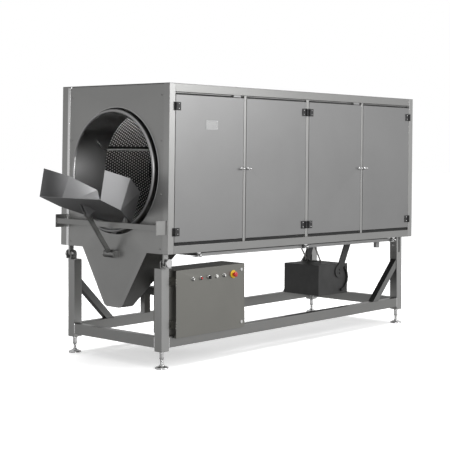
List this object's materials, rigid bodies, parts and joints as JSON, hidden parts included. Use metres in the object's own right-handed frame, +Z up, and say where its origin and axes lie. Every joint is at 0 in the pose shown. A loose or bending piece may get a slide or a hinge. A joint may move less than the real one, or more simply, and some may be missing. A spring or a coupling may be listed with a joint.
{
  "type": "rotary drum washer",
  "caption": "Rotary drum washer: a perforated drum on rollers inside a tilting cabinet with hinged doors, infeed chute, sump hopper, control box and base frame.",
  "frame": {"origin": "centre of the front left foot's sole, on the floor", "axes": "+X along the drum from infeed to discharge, +Y from the door side to the rear, +Z up"},
  "size_m": [3.5395, 1.238, 2.0697],
  "materials": {
    "frame_steel": "ground tube",
    "sheet_steel": "brushed sheet",
    "bright_steel": "polished",
    "drum_steel": "bright perforated sheet",
    "drive_paint": "satin grey paint",
    "hinge_black": "satin black",
    "mechanism_steel": "oiled",
    "cable_black": "matte",
    "button_black": "gloss",
    "button_red": "gloss",
    "operator_trim": "polished",
    "panel_grey": "powder coat"
  },
  "bodies": {
    "base": {"legs": "frame_steel", "long_rails": "frame_steel", "cross_rails": "frame_steel", "braces": "frame_steel", "clevises": "frame_steel", "base_bolts": "bright_steel", "control_box": "sheet_steel", "drive_panel": "panel_grey", "wireway": "frame_steel"},
    "foot_front_left": {"foot_front_left": "bright_steel"},
    "foot_rear_left": {"foot_rear_left": "bright_steel"},
    "foot_front_right": {"foot_front_right": "bright_steel"},
    "foot_rear_right": {"foot_rear_right": "bright_steel"},
    "control_door": {"control_door": "sheet_steel", "button_bezels": "operator_trim"},
    "start_button": {"start_button": "button_black"},
    "stop_button": {"stop_button": "button_black"},
    "reset_button": {"reset_button": "button_black"},
    "selector_knob": {"selector_knob": "button_black"},
    "estop_button": {"estop_button": "button_red"},
    "upper_lock": {"upper_lock": "bright_steel"},
    "lower_lock": {"lower_lock": "bright_steel"},
    "cabinet": {"cabinet_posts": "frame_steel", "cabinet_rails": "frame_steel", "cabinet_crossbeams": "frame_steel", "tilt_brackets": "frame_steel", "infeed_panel": "sheet_steel", "discharge_panel": "sheet_steel", "roof_panel": "sheet_steel", "rear_panels": "sheet_steel", "sump_hopper": "sheet_steel", "drip_pans": "sheet_steel", "pan_hangers": "bright_steel", "fixed_hinge_leaves": "hinge_black", "interlocks": "sheet_steel", "crossbar": "frame_steel", "gearmotor": "drive_paint", "drive_housing": "drive_paint", "hanger_arms": "drive_paint", "motor_cable": "cable_black", "pillow_blocks": "mechanism_steel", "spray_header": "bright_steel", "drive_chain": "mechanism_steel"},
    "drum": {"drum_screen": "drum_steel", "drum_end_bands": "drum_steel", "riding_rings": "mechanism_steel", "lifter_flights": "drum_steel"},
    "front_rollers": {"front_roller_shaft": "mechanism_steel"},
    "rear_rollers": {"rear_roller_shaft": "mechanism_steel"},
    "drive_sprocket": {"drive_sprocket": "mechanism_steel"},
    "door_1": {"door_1": "sheet_steel"},
    "door_2": {"door_2": "sheet_steel"},
    "door_3": {"door_3": "sheet_steel"},
    "door_4": {"door_4": "sheet_steel"},
    "latch_1": {"latch_1": "bright_steel"},
    "latch_2": {"latch_2": "bright_steel"},
    "latch_3": {"latch_3": "bright_steel"},
    "latch_4": {"latch_4": "bright_steel"},
    "chute": {"chute": "sheet_steel"},
    "strut": {"strut": "frame_steel"}
  },
  "joints": [
    {"name": "cabinet_tilt", "type": "hinge", "parent": "base", "child": "cabinet", "pos_m": [0, 0.4875, 0.768], "axis": [0, -1, 0], "range_deg": [0, 1.5]},
    {"name": "level_front_left", "type": "slide", "parent": "base", "child": "foot_front_left", "axis": [0, 0, -1], "range_m": [0, 0.03]},
    {"name": "level_rear_left", "type": "slide", "parent": "base", "child": "foot_rear_left", "axis": [0, 0, -1], "range_m": [0, 0.03]},
    {"name": "level_front_right", "type": "slide", "parent": "base", "child": "foot_front_right", "axis": [0, 0, -1], "range_m": [0, 0.03]},
    {"name": "level_rear_right", "type": "slide", "parent": "base", "child": "foot_rear_right", "axis": [0, 0, -1], "range_m": [0, 0.03]},
    {"name": "drum_spin", "type": "hinge", "parent": "cabinet", "child": "drum", "pos_m": [1.49372, 0.47, 1.39803], "axis": [0.9998, 0, -0.0175], "continuous": true},
    {"name": "front_roller_spin", "type": "hinge", "parent": "cabinet", "child": "front_rollers", "pos_m": [1.48578, 0.15149, 0.94322], "axis": [0.9998, 0, -0.0175], "continuous": true},
    {"name": "rear_roller_spin", "type": "hinge", "parent": "cabinet", "child": "rear_rollers", "pos_m": [1.48578, 0.78851, 0.94322], "axis": [0.9998, 0, -0.0175], "continuous": true},
    {"name": "drive_spin", "type": "hinge", "parent": "cabinet", "child": "drive_sprocket", "pos_m": [2.45657, 0.4825, 0.40707], "axis": [0.9998, 0, -0.0175], "continuous": true},
    {"name": "door_1_swing", "type": "hinge", "parent": "cabinet", "child": "door_1", "pos_m": [0.02438, -0.1215, 1.44868], "axis": [-0.0175, 0, -0.9998], "range_deg": [0, 110]},
    {"name": "door_2_swing", "type": "hinge", "parent": "cabinet", "child": "door_2", "pos_m": [1.50516, -0.1215, 1.42283], "axis": [0.0175, 0, 0.9998], "range_deg": [0, 88]},
    {"name": "door_3_swing", "type": "hinge", "parent": "cabinet", "child": "door_3", "pos_m": [1.54315, -0.1215, 1.42217], "axis": [-0.0175, 0, -0.9998], "range_deg": [0, 88]},
    {"name": "door_4_swing", "type": "hinge", "parent": "cabinet", "child": "door_4", "pos_m": [2.95994, -0.1215, 1.39744], "axis": [0.0175, 0, 0.9998], "range_deg": [0, 110]},
    {"name": "latch_1_turn", "type": "hinge", "parent": "door_1", "child": "latch_1", "pos_m": [0.73328, -0.1375, 1.4363], "axis": [0, 1, 0], "range_deg": [0, 90]},
    {"name": "latch_2_turn", "type": "hinge", "parent": "door_2", "child": "latch_2", "pos_m": [0.80726, -0.1375, 1.43501], "axis": [0, 1, 0], "range_deg": [0, 90]},
    {"name": "latch_3_turn", "type": "hinge", "parent": "door_3", "child": "latch_3", "pos_m": [2.22505, -0.1375, 1.41027], "axis": [0, 1, 0], "range_deg": [0, 90]},
    {"name": "latch_4_turn", "type": "hinge", "parent": "door_4", "child": "latch_4", "pos_m": [2.29904, -0.1375, 1.40897], "axis": [0, 1, 0], "range_deg": [0, 90]},
    {"name": "chute_tilt", "type": "hinge", "parent": "cabinet", "child": "chute", "pos_m": [-0.12231, 0.47, 1.06618], "axis": [0, 1, 0], "range_deg": [0, 8]},
    {"name": "strut_swing", "type": "hinge", "parent": "cabinet", "child": "strut", "pos_m": [-0.08184, 0.47, 0.80643], "axis": [0, 1, 0], "range_deg": [0, 8]},
    {"name": "control_door_swing", "type": "hinge", "parent": "base", "child": "control_door", "pos_m": [0.0745, -0.0725, 0.461], "axis": [0, 0, -1], "range_deg": [0, 110]},
    {"name": "start_button_press", "type": "slide", "parent": "control_door", "child": "start_button", "axis": [0, 1, 0], "range_m": [0, 0.004], "stiffness_N_per_m": 400},
    {"name": "stop_button_press", "type": "slide", "parent": "control_door", "child": "stop_button", "axis": [0, 1, 0], "range_m": [0, 0.004], "stiffness_N_per_m": 400},
    {"name": "reset_button_press", "type": "slide", "parent": "control_door", "child": "reset_button", "axis": [0, 1, 0], "range_m": [0, 0.004], "stiffness_N_per_m": 400},
    {"name": "selector_turn", "type": "hinge", "parent": "control_door", "child": "selector_knob", "pos_m": [0.4235, -0.0675, 0.632], "axis": [0, 1, 0], "range_deg": [0, 90]},
    {"name": "estop_press", "type": "slide", "parent": "control_door", "child": "estop_button", "axis": [0, 1, 0], "range_m": [0, 0.005]},
    {"name": "upper_lock_turn", "type": "hinge", "parent": "control_door", "child": "upper_lock", "pos_m": [0.7805, -0.0675, 0.662], "axis": [0, 1, 0], "range_deg": [0, 90]},
    {"name": "lower_lock_turn", "type": "hinge", "parent": "control_door", "child": "lower_lock", "pos_m": [0.7805, -0.0675, 0.26], "axis": [0, 1, 0], "range_deg": [0, 90]}
  ],
  "couplings": [
    {"joint": "front_roller_spin", "follows": "drum_spin", "ratio": -6.4},
    {"joint": "rear_roller_spin", "follows": "drum_spin", "ratio": -6.4},
    {"joint": "drive_spin", "follows": "drum_spin", "ratio": -10.4},
    {"joint": "strut_swing", "follows": "chute_tilt", "ratio": 0.379}
  ]
}
